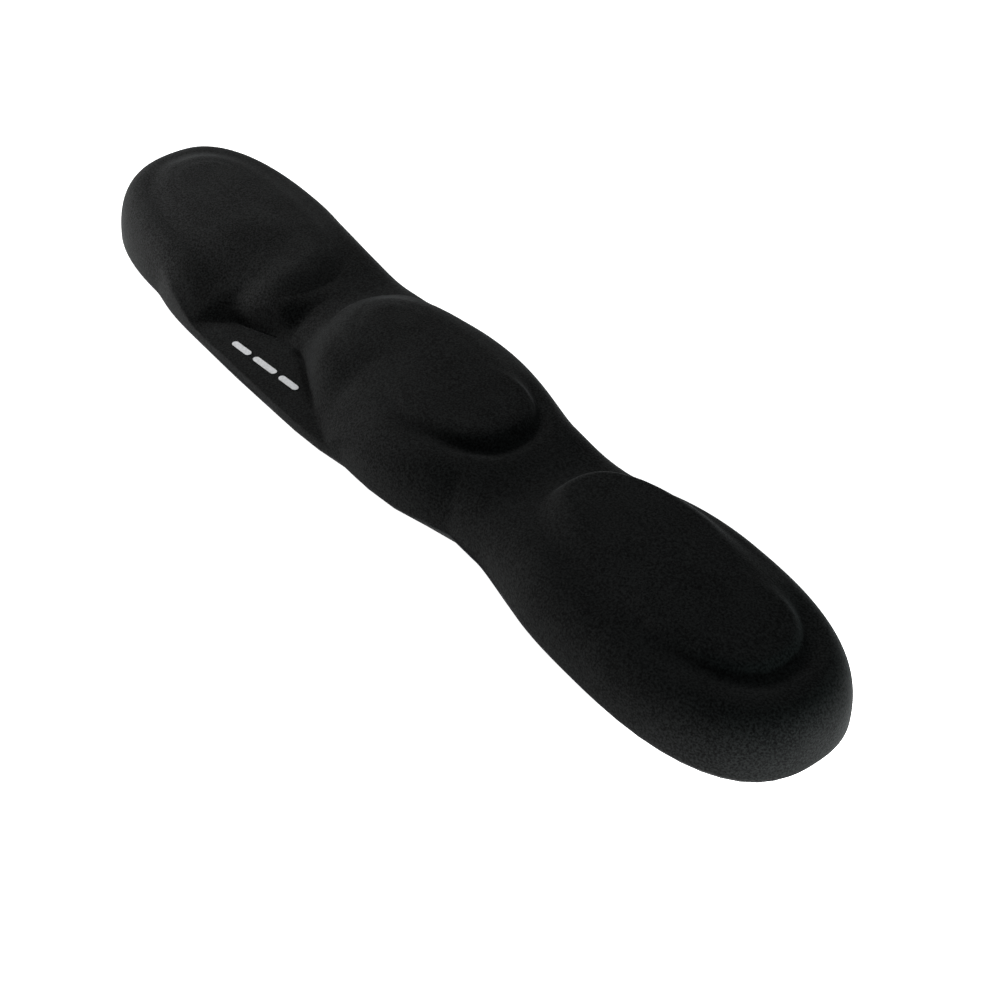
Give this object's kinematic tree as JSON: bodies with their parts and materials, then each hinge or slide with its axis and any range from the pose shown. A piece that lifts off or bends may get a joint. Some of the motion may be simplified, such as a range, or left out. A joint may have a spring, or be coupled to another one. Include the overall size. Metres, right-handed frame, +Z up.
{
  "type": "wrist rest",
  "caption": "Long soft keyboard wrist rest with raised oval pads, a scalloped outline and a low shelf at one neck, in black knit over foam on a rubber base.",
  "frame": {"origin": "middle of the underside, where the rest stands on the desk", "axes": "+X along the rest to the right, +Y to the keyboard side, +Z up; the user sits on the -Y side"},
  "size_m": [0.4596, 0.1038, 0.033],
  "materials": {
    "knit": "matte stretch knit",
    "base_rubber": "matte, ribbed for grip",
    "foam": "open-cell foam",
    "adhesive": "satin film",
    "ink": "matte print"
  },
  "bodies": {
    "root": {"base_sheet": "base_rubber", "base_adhesive_film": "adhesive", "foam_core": "foam", "cover_bond_film": "adhesive", "fabric_cover": "knit", "printed_dash_1": "ink", "printed_dash_2": "ink", "printed_dash_3": "ink"}
  },
  "joints": []
}
